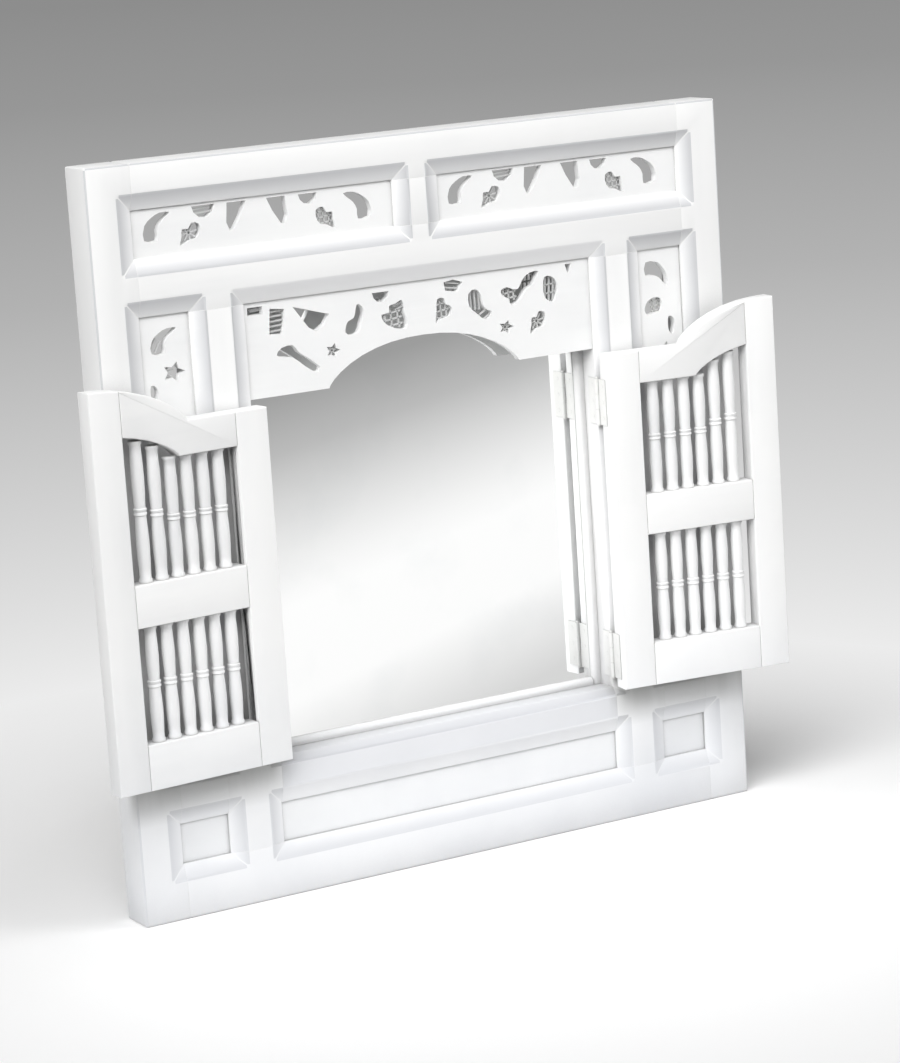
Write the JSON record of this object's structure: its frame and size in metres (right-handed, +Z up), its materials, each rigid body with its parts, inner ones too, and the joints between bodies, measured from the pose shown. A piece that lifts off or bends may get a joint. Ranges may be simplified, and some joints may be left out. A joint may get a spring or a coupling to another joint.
{
  "type": "overmantel mirror",
  "caption": "Nearly square white painted panelled mirror with pierced carved panels, an arched pierced apron and two hinged openwork shutters filled with turned spindles.",
  "frame": {"origin": "middle of the frame's underside, half way through its depth", "axes": "+X to the right as seen from the front, +Y to the back, +Z up; the front faces -Y"},
  "size_m": [0.981, 0.1136, 0.935],
  "materials": {
    "frame_paint": "white paint, slightly worn",
    "panel_paint": "white paint, slightly worn",
    "shutter_paint": "white paint, slightly worn",
    "bead_paint": "white paint",
    "mirror_silver": "silvered glass",
    "board_wood": "bare hardboard",
    "hinge_paint": "painted over white",
    "plain_steel": "zinc plated"
  },
  "bodies": {
    "frame": {"outer_stile_left": "frame_paint", "outer_stile_right": "frame_paint", "top_rail": "frame_paint", "upper_rail": "frame_paint", "bottom_rail": "frame_paint", "mullion": "frame_paint", "inner_stile_left": "frame_paint", "inner_stile_right": "frame_paint", "sill_rail": "frame_paint", "cross_rail_left": "frame_paint", "cross_rail_right": "frame_paint", "top_panel_left": "panel_paint", "top_panel_right": "panel_paint", "side_panel_left": "panel_paint", "side_panel_right": "panel_paint", "apron": "panel_paint", "bottom_left_panel": "panel_paint", "bottom_centre_panel": "panel_paint", "bottom_right_panel": "panel_paint", "mirror_glass": "mirror_silver", "backing_board": "board_wood", "mirror_bead_left": "bead_paint", "mirror_bead_right": "bead_paint", "mirror_bead_bottom": "bead_paint", "mirror_bead_top": "bead_paint", "backing_clip_1": "plain_steel", "backing_clip_2": "plain_steel", "backing_clip_3": "plain_steel", "backing_clip_4": "plain_steel", "backing_clip_5": "plain_steel", "backing_clip_6": "plain_steel", "hanging_plate_left": "plain_steel", "hanging_plate_right": "plain_steel", "left_lower_jamb_leaf": "hinge_paint", "left_lower_hinge_pin": "hinge_paint", "left_upper_jamb_leaf": "hinge_paint", "left_upper_hinge_pin": "hinge_paint", "right_lower_jamb_leaf": "hinge_paint", "right_lower_hinge_pin": "hinge_paint", "right_upper_jamb_leaf": "hinge_paint", "right_upper_hinge_pin": "hinge_paint"},
    "left_shutter": {"left_lower_shutter_leaf": "hinge_paint", "left_upper_shutter_leaf": "hinge_paint", "left_shutter_hinge_stile": "shutter_paint", "left_shutter_free_stile": "shutter_paint", "left_shutter_top_rail": "shutter_paint", "left_shutter_middle_rail": "shutter_paint", "left_shutter_bottom_rail": "shutter_paint"},
    "right_shutter": {"right_lower_shutter_leaf": "hinge_paint", "right_upper_shutter_leaf": "hinge_paint", "right_shutter_hinge_stile": "shutter_paint", "right_shutter_free_stile": "shutter_paint", "right_shutter_top_rail": "shutter_paint", "right_shutter_middle_rail": "shutter_paint", "right_shutter_bottom_rail": "shutter_paint"}
  },
  "joints": [
    {"name": "left_shutter_hinge", "type": "hinge", "parent": "frame", "child": "left_shutter", "pos_m": [-0.2474, -0.025, 0.3935], "axis": [0, 0, -1], "range_deg": [-176, 4]},
    {"name": "right_shutter_hinge", "type": "hinge", "parent": "frame", "child": "right_shutter", "pos_m": [0.2474, -0.025, 0.3935], "axis": [0, 0, 1], "range_deg": [-173, 7]}
  ]
}
